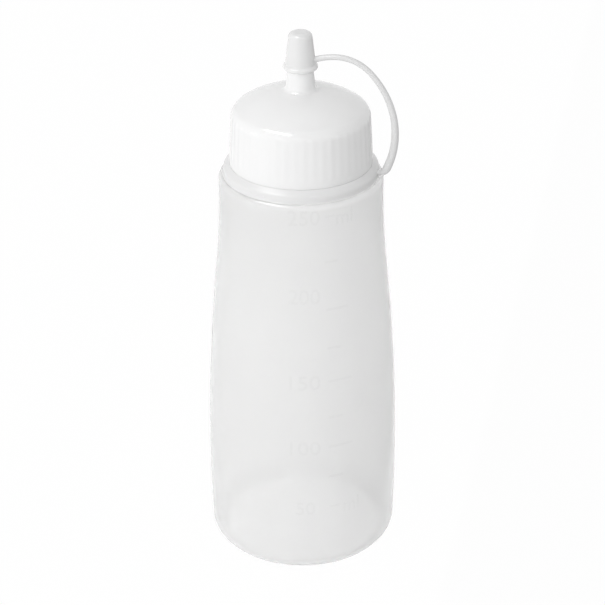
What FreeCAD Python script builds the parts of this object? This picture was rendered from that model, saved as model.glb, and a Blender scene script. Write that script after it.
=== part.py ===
import FreeCAD, Part
import math
import os

import Sketcher

# A squeeze bottle in three pieces: a blown bottle, a screwed nozzle cap, and a
# moulded tether whose ring lies round the neck, whose strap arches up beside the
# cap and whose thimble closes the nozzle. The frame is +Z up, with the origin on
# the bottle's axis where it stands; the strap lies on the +X side, in the XZ plane.

SIZES = {
    # bottle; turn_height is where the long belly arc gives way to the hollow waist
    "belly_radius": 29.0,
    "belly_height": 25.2,
    "turn_height": 92.15,
    "shoulder_radius": 23.94,
    "shoulder_corner": 2.2,
    "shoulder_height": 123.0,
    "base_corner": 4.9,
    "foot_radius": 21.5,
    "push_up": 2.6,
    "wall": 1.1,
    "neck_radius": 17.4,
    "neck_wall": 1.8,
    "neck_rise": 16.5,
    # nozzle cap; rises are from the shoulder or the neck's rim
    "skirt_gap": 3.1,
    "skirt_draft": 3.3,
    "skirt_wall": 1.3,
    "thread_gap": 1.3,
    "crown_corner": 4.0,
    "dome_curve": 33.3,
    "dome_rise": 8.95,
    "dome_wall": 1.4,
    "seat_width": 2.0,
    "nozzle_rise": 24.7,
    "nozzle_tip_radius": 2.45,
    "nozzle_draft": 6.8,
    "nozzle_wall": 0.95,
    "nozzle_fillet": 1.6,
    "rib_count": 48,
    "rib_width": 1.3,
    "rib_relief": 0.15,
    "rib_foot": 2.4,
    "rib_wrap": 16.0,
    "rib_fade": 12.0,
    # tether: thimble, ring and strap; the strap's rises are from the thimble's lip,
    # from its own root and from the shoulder
    "thimble_reach": 10.0,
    "thimble_gap": 0.2,
    "thimble_wall": 0.72,
    "thimble_top_wall": 0.95,
    "thimble_corner": 1.5,
    "bead_radius": 0.8,
    "bead_reach": 0.4,
    "ring_gap": 0.8,
    "ring_width": 4.3,
    "ring_thickness": 2.6,
    "ring_corner": 1.1,
    "strap_root_rise": 2.95,
    "strap_root_curve": 18.7,
    "strap_crest_rise": 1.3,
    "strap_bulge": 4.85,
    "strap_bulge_rise": 13.4,
    "strap_crest_curve": 12.96,
    "strap_foot_curve": 2.5,
    "strap_root_radius": 0.85,
    "strap_crest_radius": 0.8,
    "strap_heel_radius": 1.2,
    "strap_foot_radius": 0.75,
}

AXIS_Z = FreeCAD.Vector(0, 0, 1)
ORIGIN = (-1, 1)
H_AXIS = -1
V_AXIS = -2


def make_sheet(doc, sizes):
    """Write each size as text in its own cell, and give the cell the size's name."""
    sheet = doc.addObject("Spreadsheet::Sheet", "Sizes")
    for row, (name, value) in enumerate(sizes.items(), start=1):
        sheet.set("A%d" % row, name)
        sheet.set("B%d" % row, str(value))
        sheet.setAlias("B%d" % row, name)
    doc.recompute()
    return sheet


def size(name):
    return SIZES[name]


# ------------------------------------------------- heights and radii the pieces share

NECK_TOP = "(Sizes.shoulder_height + Sizes.neck_rise)"
SKIRT_LOW = "(Sizes.shoulder_height + Sizes.skirt_gap)"
CROWN_RADIUS = "(Sizes.neck_radius + Sizes.thread_gap + Sizes.skirt_wall)"
DOME_TOP = "(Sizes.shoulder_height + Sizes.neck_rise + Sizes.dome_rise)"
NOZZLE_TOP = "(Sizes.shoulder_height + Sizes.neck_rise + Sizes.nozzle_rise)"
THIMBLE_LIP = "(%s - Sizes.thimble_reach)" % NOZZLE_TOP
RING_BORE = "(Sizes.neck_radius + Sizes.ring_gap)"
RING_RADIUS = "(Sizes.neck_radius + Sizes.ring_gap + Sizes.ring_width)"


def neck_top():
    return size("shoulder_height") + size("neck_rise")


def skirt_low():
    return size("shoulder_height") + size("skirt_gap")


def crown_radius():
    return size("neck_radius") + size("thread_gap") + size("skirt_wall")


def dome_top():
    return neck_top() + size("dome_rise")


def nozzle_top():
    return neck_top() + size("nozzle_rise")


def thimble_lip():
    return nozzle_top() - size("thimble_reach")


def ring_bore():
    return size("neck_radius") + size("ring_gap")


def ring_radius():
    return ring_bore() + size("ring_width")


# ---------------------------------------------------------------- geometry helpers


def polar(centre, radius, degrees):
    """The point at an angle on a circle."""
    turn = math.radians(degrees)
    return (centre[0] + radius * math.cos(turn), centre[1] + radius * math.sin(turn))


def toward(start, end, length):
    """The point at a length from start, on the line that runs to end."""
    span = math.dist(start, end)
    return (
        start[0] + (end[0] - start[0]) * length / span,
        start[1] + (end[1] - start[1]) * length / span,
    )


# ------------------------------------------------------------------ sketch helpers


def plane_of(body, role):
    for feature in body.Origin.OriginFeatures:
        if feature.Role == role:
            return feature
    raise RuntimeError("no origin plane " + role)


def new_sketch(body, name, role="XZ_Plane"):
    sketch = body.newObject("Sketcher::SketchObject", name)
    sketch.AttachmentSupport = [(plane_of(body, role), "")]
    sketch.MapMode = "FlatFace"
    return sketch


class Outline:
    """A chain of lines and arcs in a sketch, each joined to the one before it."""

    def __init__(self, sketch):
        self.sketch = sketch
        self.parts = []

    def line(self, start, end):
        """Add a straight piece and return its number."""
        a = FreeCAD.Vector(start[0], start[1], 0)
        b = FreeCAD.Vector(end[0], end[1], 0)
        number = self.sketch.addGeometry(Part.LineSegment(a, b), False)
        self.parts.append((number, 1, 2))
        return number

    def arc(self, centre, radius, start, end, clockwise=False):
        """Add an arc from start to end, which lie on the circle, and return its number."""
        first, last = (end, start) if clockwise else (start, end)
        angles = []
        for point in (first, last):
            angles.append(math.atan2(point[1] - centre[1], point[0] - centre[0]))
        if angles[1] < angles[0]:
            angles[1] += 2 * math.pi
        circle = Part.Circle(FreeCAD.Vector(centre[0], centre[1], 0), AXIS_Z, radius)
        number = self.sketch.addGeometry(Part.ArcOfCircle(circle, *angles), False)
        self.parts.append((number, 2, 1) if clockwise else (number, 1, 2))
        return number

    def join(self, smooth=(), closed=True):
        """Tie each end to the next start, tangent where the pair is in smooth."""
        count = len(self.parts)
        for index in range(count if closed else count - 1):
            number, _, end = self.parts[index]
            follower, start, _ = self.parts[(index + 1) % count]
            kind = "Tangent" if (number, follower) in smooth else "Coincident"
            self.sketch.addConstraint(Sketcher.Constraint(kind, number, end, follower, start))

    def level(self, *numbers):
        for number in numbers:
            self.sketch.addConstraint(Sketcher.Constraint("Horizontal", number))

    def upright(self, *numbers):
        for number in numbers:
            self.sketch.addConstraint(Sketcher.Constraint("Vertical", number))

    def on_axis(self, number, point, axis=V_AXIS):
        self.sketch.addConstraint(Sketcher.Constraint("PointOnObject", number, point, axis))

    def bind(self, name, constraint, formula):
        """Add a dimension and bind it to a formula of the sheet's sizes."""
        index = self.sketch.addConstraint(constraint)
        self.sketch.renameConstraint(index, name)
        self.sketch.setExpression("Constraints." + name, formula)

    def across(self, name, number, point, value, formula):
        dimension = Sketcher.Constraint("DistanceX", *ORIGIN, number, point, value)
        self.bind(name, dimension, formula)

    def up(self, name, number, point, value, formula):
        dimension = Sketcher.Constraint("DistanceY", *ORIGIN, number, point, value)
        self.bind(name, dimension, formula)

    def lean(self, name, number, alias, upwards=True):
        """Lean a line's upper end towards the axis by an angle of the sheet."""
        turn = 90 if upwards else -90
        angle = Sketcher.Constraint("Angle", number, math.radians(size(alias) + turn))
        self.bind(name, angle, "(Sizes.%s + %d) * 1 deg" % (alias, turn))

    def radius(self, name, number, value, formula):
        self.bind(name, Sketcher.Constraint("Radius", number, value), formula)


def revolve(body, kind, name, sketch):
    """Turn a half-section about the bottle's axis, to add (Revolution) or cut (Groove)."""
    feature = body.newObject("PartDesign::" + kind, name)
    feature.Profile = sketch
    feature.ReferenceAxis = (sketch, ["V_Axis"])
    feature.Angle = 360
    sketch.Visibility = False
    return feature


def new_body(doc, label):
    body = doc.addObject("PartDesign::Body", label)
    body.Label = label
    return body


# ---------------------------------------------------------------------- the bottle

# The belly arc starts upright at the belly and the waist arc ends upright at the
# shoulder's corner, so both have the same ratio of radius to rise, which the flank's
# mean slope gives.
FLANK_SLOPE = (
    "((Sizes.belly_radius - Sizes.shoulder_radius)"
    " / (Sizes.shoulder_height - Sizes.shoulder_corner - Sizes.belly_height))"
)
FLANK_RATIO = "((1 / %s + %s) / 2)" % (FLANK_SLOPE, FLANK_SLOPE)
BELLY_CURVE = "((Sizes.turn_height - Sizes.belly_height) * %s)" % FLANK_RATIO
WAIST_CURVE = "((Sizes.shoulder_height - Sizes.shoulder_corner - Sizes.turn_height) * %s)" % (
    FLANK_RATIO
)


def flank_curves():
    """The radii of the belly arc and of the waist arc."""
    top = size("shoulder_height") - size("shoulder_corner")
    slope = (size("belly_radius") - size("shoulder_radius")) / (top - size("belly_height"))
    ratio = (1 / slope + slope) / 2
    belly_rise = size("turn_height") - size("belly_height")
    return belly_rise * ratio, (top - size("turn_height")) * ratio


def bottle_outline(sketch, inset, inset_formula):
    """Draw the bottle's half-section, moved inwards by inset (0 for the outside).

    From the push-up's centre along the foot, round the base corner, up the long belly
    arc and the hollow waist arc, over the shoulder and up the neck.
    """
    out = Outline(sketch)
    push = size("push_up")
    foot = size("foot_radius")
    dome_radius = (foot**2 + push**2) / (2 * push)
    dome_centre = (0, push - dome_radius)
    curve, hollow = flank_curves()
    belly_curve = curve - inset
    belly = (size("belly_radius") - curve, size("belly_height"))
    corner_radius = size("base_corner") - inset
    rise = size("belly_height") - size("base_corner")
    run = math.sqrt((curve - size("base_corner")) ** 2 - rise**2)
    corner = (belly[0] + run, size("base_corner"))
    shoulder_corner = size("shoulder_corner") - inset
    shoulder = (
        size("shoulder_radius") - size("shoulder_corner"),
        size("shoulder_height") - size("shoulder_corner"),
    )
    waist_curve = hollow + inset
    waist = (size("shoulder_radius") + hollow, shoulder[1])
    neck = size("neck_radius") - (size("neck_wall") if inset else 0)
    neck_formula = "Sizes.neck_radius" + (" - Sizes.neck_wall" if inset else "")
    dome_end = (math.sqrt((dome_radius + inset) ** 2 - (inset - dome_centre[1]) ** 2), inset)

    top_of_dome = (0, push + inset)
    corner_start = (corner[0], inset)
    belly_start = toward(belly, corner, belly_curve)
    belly_end = toward(belly, waist, belly_curve)
    waist_end = toward(waist, shoulder, waist_curve)
    shoulder_end = (shoulder[0], size("shoulder_height") - inset)
    neck_start = (neck, shoulder_end[1])
    neck_end = (neck, neck_top())
    top = (0, neck_top())

    dome = out.arc(dome_centre, dome_radius + inset, top_of_dome, dome_end, clockwise=True)
    ground = out.line(dome_end, corner_start)
    base_arc = out.arc(corner, corner_radius, corner_start, belly_start)
    belly_arc = out.arc(belly, belly_curve, belly_start, belly_end)
    waist_arc = out.arc(waist, waist_curve, belly_end, waist_end, clockwise=True)
    shoulder_arc = out.arc(shoulder, shoulder_corner, waist_end, shoulder_end)
    shelf = out.line(shoulder_end, neck_start)
    neck_side = out.line(neck_start, neck_end)
    rim = out.line(neck_end, top)
    axis = out.line(top, top_of_dome)
    out.join(
        smooth=(
            (ground, base_arc),
            (base_arc, belly_arc),
            (belly_arc, waist_arc),
            (waist_arc, shoulder_arc),
            (shoulder_arc, shelf),
        )
    )
    out.level(ground, shelf, rim)
    out.upright(neck_side, axis)
    out.on_axis(dome, 3)
    out.on_axis(axis, 1)
    less = " - " + inset_formula
    more = " + " + inset_formula
    dome_formula = "(Sizes.foot_radius ^ 2 + Sizes.push_up ^ 2) / (2 * Sizes.push_up)"
    out.radius("push_up_curve", dome, dome_radius + inset, dome_formula + more)
    out.up("push_up_top", dome, 2, push + inset, "Sizes.push_up" + more)
    if inset:
        out.up("floor", ground, 1, inset, inset_formula)
    else:
        out.on_axis(ground, 1, H_AXIS)
    out.radius("base_corner", base_arc, corner_radius, "Sizes.base_corner" + less)
    out.radius("belly_curve", belly_arc, belly_curve, BELLY_CURVE + less)
    centre_run = Sketcher.Constraint("DistanceX", belly_arc, 3, *ORIGIN, -belly[0])
    out.bind("belly_centre", centre_run, BELLY_CURVE + " - Sizes.belly_radius")
    out.up("belly_height", belly_arc, 3, belly[1], "Sizes.belly_height")
    out.radius("waist_curve", waist_arc, waist_curve, WAIST_CURVE + more)
    out.radius("shoulder_corner", shoulder_arc, shoulder_corner, "Sizes.shoulder_corner" + less)
    shoulder_formula = "Sizes.shoulder_radius - Sizes.shoulder_corner"
    out.across("shoulder_centre", shoulder_arc, 3, shoulder[0], shoulder_formula)
    out.up("shelf_height", shelf, 1, shoulder_end[1], "Sizes.shoulder_height" + less)
    out.across("neck_side", neck_side, 1, neck, neck_formula)
    out.up("neck_height", neck_side, 2, neck_end[1], NECK_TOP)


def make_bottle(doc):
    """The blown bottle: one thin wall from the pushed-up base to the neck's rim."""
    body = new_body(doc, "bottle")
    outside = new_sketch(body, "BottleOutside")
    bottle_outline(outside, 0, "0")
    revolve(body, "Revolution", "BottleForm", outside)
    inside = new_sketch(body, "BottleInside")
    bottle_outline(inside, size("wall"), "Sizes.wall")
    revolve(body, "Groove", "BottleHollow", inside)
    return body


# ------------------------------------------------------------------ the nozzle cap


def dome_centre():
    return (0, dome_top() - size("dome_curve"))


def crown_centre():
    """The centre of the arc that rounds the dome over into the skirt."""
    across = crown_radius() - size("crown_corner")
    reach = size("dome_curve") - size("crown_corner")
    return (across, dome_centre()[1] + math.sqrt(reach**2 - across**2))


CROWN_ACROSS = "(%s - Sizes.crown_corner)" % CROWN_RADIUS
DOME_CENTRE = "(%s - Sizes.dome_curve)" % DOME_TOP
CROWN_UP = "(%s + sqrt((Sizes.dome_curve - Sizes.crown_corner) ^ 2 - %s ^ 2))" % (
    DOME_CENTRE,
    CROWN_ACROSS,
)


def skirt_foot(offset, height):
    """The point at a height on the skirt's leaning side, moved out by offset."""
    crown = crown_centre()
    start = polar(crown, size("crown_corner") + offset, size("skirt_draft"))
    lean = math.tan(math.radians(size("skirt_draft")))
    return (start[0] + (start[1] - height) * lean, height)


def nozzle_radius(height):
    """The nozzle's outer radius at a height."""
    slope = math.tan(math.radians(size("nozzle_draft")))
    return size("nozzle_tip_radius") + (nozzle_top() - height) * slope


def cone_meets_sphere(radius, reach):
    """Where a cone of the nozzle's draft meets a sphere about the dome's centre.

    The cone has the given radius at the nozzle's top, and reach is the sphere's radius.
    """
    slope = math.tan(math.radians(size("nozzle_draft")))
    rise = nozzle_top() - dome_centre()[1]
    a = slope**2 + 1
    b = 2 * (radius * slope - rise)
    c = radius**2 + rise**2 - reach**2
    drop = (-b - math.sqrt(b * b - 4 * a * c)) / (2 * a)
    return (radius + slope * drop, nozzle_top() - drop)


def cap_outline(sketch):
    """Draw the cap's outside: skirt, crown, dome, fillet and tapered nozzle."""
    out = Outline(sketch)
    crown = crown_centre()
    dome = dome_centre()
    foot = skirt_foot(0, skirt_low())
    skirt_end = polar(crown, size("crown_corner"), size("skirt_draft"))
    crown_end = toward(dome, crown, size("dome_curve"))
    tip = (size("nozzle_tip_radius"), nozzle_top())
    draft = math.radians(size("nozzle_draft"))
    fillet = size("nozzle_fillet")
    offset = tip[0] + fillet / math.cos(draft)
    centre = cone_meets_sphere(offset, size("dome_curve") + fillet)
    dome_end = toward(centre, dome, fillet)
    side_end = polar(centre, fillet, 180 + size("nozzle_draft"))
    base = (0, foot[1])
    top = (0, tip[1])

    lip = out.line(base, foot)
    skirt = out.line(foot, skirt_end)
    crown_arc = out.arc(crown, size("crown_corner"), skirt_end, crown_end)
    dome_arc = out.arc(dome, size("dome_curve"), crown_end, dome_end)
    fillet_arc = out.arc(centre, fillet, dome_end, side_end, clockwise=True)
    side = out.line(side_end, tip)
    face = out.line(tip, top)
    axis = out.line(top, base)
    out.join(
        smooth=(
            (skirt, crown_arc),
            (crown_arc, dome_arc),
            (dome_arc, fillet_arc),
            (fillet_arc, side),
        )
    )
    out.level(lip, face)
    out.on_axis(axis, 1)
    out.on_axis(axis, 2)
    out.on_axis(dome_arc, 3)
    out.up("skirt_height", skirt, 1, foot[1], SKIRT_LOW)
    out.lean("skirt_draft", skirt, "skirt_draft")
    out.radius("crown_corner", crown_arc, size("crown_corner"), "Sizes.crown_corner")
    out.across("crown_centre", crown_arc, 3, crown[0], CROWN_ACROSS)
    out.radius("dome_curve", dome_arc, size("dome_curve"), "Sizes.dome_curve")
    out.up("dome_centre", dome_arc, 3, dome[1], DOME_CENTRE)
    out.radius("nozzle_fillet", fillet_arc, fillet, "Sizes.nozzle_fillet")
    out.across("nozzle_tip", face, 1, tip[0], "Sizes.nozzle_tip_radius")
    out.up("nozzle_top", face, 1, tip[1], NOZZLE_TOP)
    out.lean("nozzle_draft", side, "nozzle_draft")


def cap_hollow(sketch):
    """Draw what the cap is hollow of: skirt bore, neck seat, dome and nozzle bore."""
    out = Outline(sketch)
    bore = crown_radius() - size("skirt_wall")
    seat = size("neck_radius") - size("seat_width")
    under = size("dome_curve") - size("dome_wall")
    dome = dome_centre()
    base = (0, skirt_low())
    bore_start = (bore, base[1])
    bore_end = (bore, neck_top())
    seat_end = (seat, neck_top())
    dome_start = (seat, dome[1] + math.sqrt(under**2 - seat**2))
    outlet = size("nozzle_tip_radius") - size("nozzle_wall")
    root = cone_meets_sphere(outlet, under)
    mouth = (outlet, nozzle_top())
    top = (0, nozzle_top())

    open_end = out.line(base, bore_start)
    wall = out.line(bore_start, bore_end)
    ledge = out.line(bore_end, seat_end)
    riser = out.line(seat_end, dome_start)
    dome_arc = out.arc(dome, under, dome_start, root)
    side = out.line(root, mouth)
    face = out.line(mouth, top)
    axis = out.line(top, base)
    out.join()
    out.level(open_end, ledge, face)
    out.upright(wall, riser)
    out.on_axis(axis, 1)
    out.on_axis(axis, 2)
    out.on_axis(dome_arc, 3)
    out.across("skirt_bore", wall, 1, bore, CROWN_RADIUS + " - Sizes.skirt_wall")
    out.up("skirt_height", wall, 1, base[1], SKIRT_LOW)
    out.up("neck_seat", ledge, 1, bore_end[1], NECK_TOP)
    out.across("seat_edge", riser, 1, seat, "Sizes.neck_radius - Sizes.seat_width")
    out.radius("dome_underside", dome_arc, under, "Sizes.dome_curve - Sizes.dome_wall")
    out.up("dome_centre", dome_arc, 3, dome[1], DOME_CENTRE)
    out.across("outlet", face, 1, outlet, "Sizes.nozzle_tip_radius - Sizes.nozzle_wall")
    out.up("nozzle_top", face, 1, mouth[1], NOZZLE_TOP)
    out.lean("nozzle_draft", side, "nozzle_draft")


def rib_outline(sketch):
    """Draw one grip rib side-on, from above the lip to where it fades on the crown.

    Its face stands the relief off the skirt, bends over the crown and then runs out
    on to the crown's own arc; its back is sunk in the wall.
    """
    out = Outline(sketch)
    crown = crown_centre()
    relief = size("rib_relief")
    corner = size("crown_corner")
    face_curve = corner + relief
    back_curve = corner - size("skirt_wall") / 2
    low = skirt_low() + size("rib_foot")
    back_low = skirt_foot(-size("skirt_wall") / 2, low)
    face_low = skirt_foot(relief, low)
    face_high = polar(crown, face_curve, size("skirt_draft"))
    wrap_end = polar(crown, face_curve, size("rib_wrap"))
    fade_end = polar(crown, corner, size("rib_wrap") + size("rib_fade"))
    back_high = polar(crown, back_curve, size("skirt_draft"))

    foot = out.line(back_low, face_low)
    face = out.line(face_low, face_high)
    wrap = out.arc(crown, face_curve, face_high, wrap_end)
    fade = out.line(wrap_end, fade_end)
    head = out.line(fade_end, back_high)
    back = out.line(back_high, back_low)
    out.join(smooth=((face, wrap),))
    out.level(foot)
    draft = size("skirt_draft")
    face_formula = "Sizes.crown_corner + Sizes.rib_relief"
    back_formula = "(Sizes.crown_corner - Sizes.skirt_wall / 2)"
    fade_formula = "(Sizes.rib_wrap + Sizes.rib_fade)"
    out.across("crown_across", wrap, 3, crown[0], CROWN_ACROSS)
    out.up("crown_up", wrap, 3, crown[1], CROWN_UP)
    out.radius("rib_curve", wrap, face_curve, face_formula)
    out.up("rib_low", foot, 2, low, SKIRT_LOW + " + Sizes.rib_foot")
    out.lean("face_lean", face, "skirt_draft")
    span = Sketcher.Constraint("Angle", wrap, math.radians(size("rib_wrap") - draft))
    out.bind("rib_wrap", span, "(Sizes.rib_wrap - Sizes.skirt_draft) * 1 deg")
    fade_across = CROWN_ACROSS + " + Sizes.crown_corner * cos(%s * 1 deg)" % fade_formula
    fade_up = CROWN_UP + " + Sizes.crown_corner * sin(%s * 1 deg)" % fade_formula
    out.across("fade_across", fade, 2, fade_end[0], fade_across)
    out.up("fade_up", fade, 2, fade_end[1], fade_up)
    back_across = CROWN_ACROSS + " + %s * cos(Sizes.skirt_draft * 1 deg)" % back_formula
    back_up = CROWN_UP + " + %s * sin(Sizes.skirt_draft * 1 deg)" % back_formula
    out.across("back_across", head, 2, back_high[0], back_across)
    out.up("back_up", head, 2, back_high[1], back_up)
    out.lean("back_lean", back, "skirt_draft", upwards=False)


def make_cap(doc):
    """The screwed cap: domed crown, ribbed skirt and tapered nozzle with its bore."""
    body = new_body(doc, "nozzle_cap")
    outside = new_sketch(body, "CapOutside")
    cap_outline(outside)
    revolve(body, "Revolution", "CapForm", outside)
    rib_side = new_sketch(body, "RibSide")
    rib_outline(rib_side)
    rib = body.newObject("PartDesign::Pad", "Rib")
    rib.Profile = rib_side
    rib.Midplane = True
    rib.Length = size("rib_width")
    rib.setExpression("Length", "Sizes.rib_width")
    rib_side.Visibility = False
    doc.recompute()
    ribs = body.newObject("PartDesign::PolarPattern", "Ribs")
    ribs.Originals = [rib]
    ribs.Axis = (plane_of(body, "Z_Axis"), [""])
    ribs.Angle = 360
    ribs.Occurrences = int(size("rib_count"))
    ribs.setExpression("Occurrences", "Sizes.rib_count")
    body.Tip = ribs
    inside = new_sketch(body, "CapInside")
    cap_hollow(inside)
    revolve(body, "Groove", "CapHollow", inside)
    return body


# --------------------------------------------------------------------- the tether


def thimble_radius(height, wall):
    """The thimble's radius at a height, outside its wall or (wall 0) inside it."""
    return nozzle_radius(height) + size("thimble_gap") + wall


THIMBLE_INSIDE = (
    "Sizes.nozzle_tip_radius + Sizes.thimble_gap"
    " + Sizes.thimble_reach * tan(Sizes.nozzle_draft * 1 deg)"
)


def thimble_outline(sketch):
    """Draw the thimble's outside: a tapered side, a rounded corner and a flat top."""
    out = Outline(sketch)
    lip = thimble_lip()
    top = nozzle_top() + size("thimble_top_wall")
    corner = size("thimble_corner")
    draft = math.radians(size("nozzle_draft"))
    foot = (thimble_radius(lip, size("thimble_wall")), lip)
    centre_height = top - corner
    side_reach = thimble_radius(centre_height, size("thimble_wall"))
    centre = (side_reach - corner / math.cos(draft), centre_height)
    side_end = polar(centre, corner, size("nozzle_draft"))
    flat = (centre[0], top)

    base = out.line((0, lip), foot)
    side = out.line(foot, side_end)
    bend = out.arc(centre, corner, side_end, flat)
    face = out.line(flat, (0, top))
    axis = out.line((0, top), (0, lip))
    out.join(smooth=((side, bend), (bend, face)))
    out.level(base, face)
    out.on_axis(axis, 1)
    out.on_axis(axis, 2)
    out.across("lip_radius", side, 1, foot[0], THIMBLE_INSIDE + " + Sizes.thimble_wall")
    out.up("lip_height", side, 1, lip, THIMBLE_LIP)
    out.radius("corner", bend, corner, "Sizes.thimble_corner")
    out.up("top", face, 1, top, NOZZLE_TOP + " + Sizes.thimble_top_wall")
    out.lean("nozzle_draft", side, "nozzle_draft")


def thimble_hollow(sketch):
    """Draw the thimble's inside, one gap clear of the nozzle and open at the lip."""
    out = Outline(sketch)
    lip = thimble_lip()
    top = nozzle_top()
    foot = (thimble_radius(lip, 0), lip)
    head = (thimble_radius(top, 0), top)
    base = out.line((0, lip), foot)
    side = out.line(foot, head)
    face = out.line(head, (0, top))
    axis = out.line((0, top), (0, lip))
    out.join()
    out.level(base, face)
    out.on_axis(axis, 1)
    out.on_axis(axis, 2)
    out.across("lip_bore", side, 1, foot[0], THIMBLE_INSIDE)
    out.up("lip_height", side, 1, lip, THIMBLE_LIP)
    out.up("nozzle_top", face, 1, top, NOZZLE_TOP)
    out.lean("nozzle_draft", side, "nozzle_draft")


def bead_outline(sketch):
    """Draw the rolled bead round the thimble's lip."""
    out = Outline(sketch)
    height = thimble_lip() + size("bead_radius")
    reach = thimble_radius(thimble_lip(), size("thimble_wall")) + size("bead_reach")
    across = reach - size("bead_radius")
    circle = Part.Circle(FreeCAD.Vector(across, height, 0), AXIS_Z, size("bead_radius"))
    ring = sketch.addGeometry(circle, False)
    out.radius("bead_radius", ring, size("bead_radius"), "Sizes.bead_radius")
    across_formula = (
        THIMBLE_INSIDE + " + Sizes.thimble_wall + Sizes.bead_reach - Sizes.bead_radius"
    )
    out.across("bead_centre", ring, 3, across, across_formula)
    out.up("bead_height", ring, 3, height, THIMBLE_LIP + " + Sizes.bead_radius")


def ring_outline(sketch):
    """Draw the ring's section: flat underneath, with a rounded outer top edge."""
    out = Outline(sketch)
    low = size("shoulder_height")
    high = low + size("ring_thickness")
    inner = ring_bore()
    outer = ring_radius()
    corner = size("ring_corner")
    centre = (outer - corner, high - corner)

    base = out.line((inner, low), (outer, low))
    edge = out.line((outer, low), (outer, centre[1]))
    bend = out.arc(centre, corner, (outer, centre[1]), (centre[0], high))
    face = out.line((centre[0], high), (inner, high))
    bore = out.line((inner, high), (inner, low))
    out.join(smooth=((edge, bend), (bend, face)))
    out.level(base, face)
    out.upright(edge, bore)
    out.up("shelf", base, 1, low, "Sizes.shoulder_height")
    out.up("ring_top", face, 1, high, "Sizes.shoulder_height + Sizes.ring_thickness")
    out.across("ring_bore", bore, 1, inner, RING_BORE)
    out.across("ring_radius", edge, 1, outer, RING_RADIUS)
    out.radius("ring_corner", bend, corner, "Sizes.ring_corner")


STRAP_ROOT_UP = "(%s + Sizes.strap_root_rise)" % THIMBLE_LIP
STRAP_ROOT_ACROSS = (
    "(Sizes.nozzle_tip_radius + Sizes.thimble_gap + Sizes.thimble_wall / 2"
    " + (Sizes.thimble_reach - Sizes.strap_root_rise) * tan(Sizes.nozzle_draft * 1 deg))"
)
STRAP_CREST_UP = "(%s + Sizes.strap_crest_rise)" % STRAP_ROOT_UP
STRAP_REACH = "(%s + Sizes.strap_bulge)" % RING_RADIUS
# how far the strap's outermost point lies out from the crest arc's centre, and below it
STRAP_OUT = (
    "(%s - %s - sqrt(Sizes.strap_root_curve ^ 2"
    " - (Sizes.strap_root_curve - Sizes.strap_crest_rise) ^ 2))"
) % (STRAP_REACH, STRAP_ROOT_ACROSS)
STRAP_DOWN = "(%s - Sizes.strap_crest_curve - Sizes.shoulder_height - Sizes.strap_bulge_rise)" % (
    STRAP_CREST_UP
)
STRAP_SIDE_CURVE = (
    "((%s ^ 2 + %s ^ 2 - Sizes.strap_crest_curve ^ 2) / (2 * (%s - Sizes.strap_crest_curve)))"
) % (STRAP_OUT, STRAP_DOWN, STRAP_OUT)


def strap_root():
    """Where the strap's centre line starts, in the middle of the thimble's wall."""
    height = thimble_lip() + size("strap_root_rise")
    return (thimble_radius(height, size("thimble_wall") / 2), height)


def strap_centres():
    """The centres of the strap's four arcs, from the thimble to the ring.

    The root's arc is level at its top, the crest, where the crest's arc takes over
    with its centre straight below. The side's arc is the one that passes upright
    through the strap's outermost point and takes in the crest's arc from outside.
    The foot's arc turns inside it, on to the ring.
    """
    start = strap_root()
    rise = size("strap_root_curve") - size("strap_crest_rise")
    across = start[0] + math.sqrt(size("strap_root_curve") ** 2 - rise**2)
    root = (across, start[1] - rise)
    bend = size("strap_crest_curve")
    crest = (across, start[1] + size("strap_crest_rise") - bend)
    out = ring_radius() + size("strap_bulge") - across
    side_height = size("shoulder_height") + size("strap_bulge_rise")
    down = crest[1] - side_height
    curve = (out**2 + down**2 - bend**2) / (2 * (out - bend))
    side = (across + out - curve, side_height)
    foot_height = size("shoulder_height") + size("ring_thickness") / 2 + size("strap_foot_curve")
    reach = curve - size("strap_foot_curve")
    foot = (side[0] + math.sqrt(reach**2 - (side_height - foot_height) ** 2), foot_height)
    return root, crest, side, curve, foot


# the size of the strap at each joint of its path, from the thimble to the ring
STRAP_RADII = (
    "strap_root_radius",
    "strap_crest_radius",
    "strap_crest_radius",
    "strap_heel_radius",
    "strap_foot_radius",
    "strap_foot_radius",
)


def strap_joints():
    """The points where the strap's spans meet, from the thimble to the ring."""
    root, crest, side, curve, foot = strap_centres()
    foot_end = (foot[0], foot[1] - size("strap_foot_curve"))
    return (
        strap_root(),
        (root[0], root[1] + size("strap_root_curve")),
        toward(side, crest, curve),
        toward(side, foot, curve),
        foot_end,
        ((ring_bore() + ring_radius()) / 2, foot_end[1]),
    )


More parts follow.
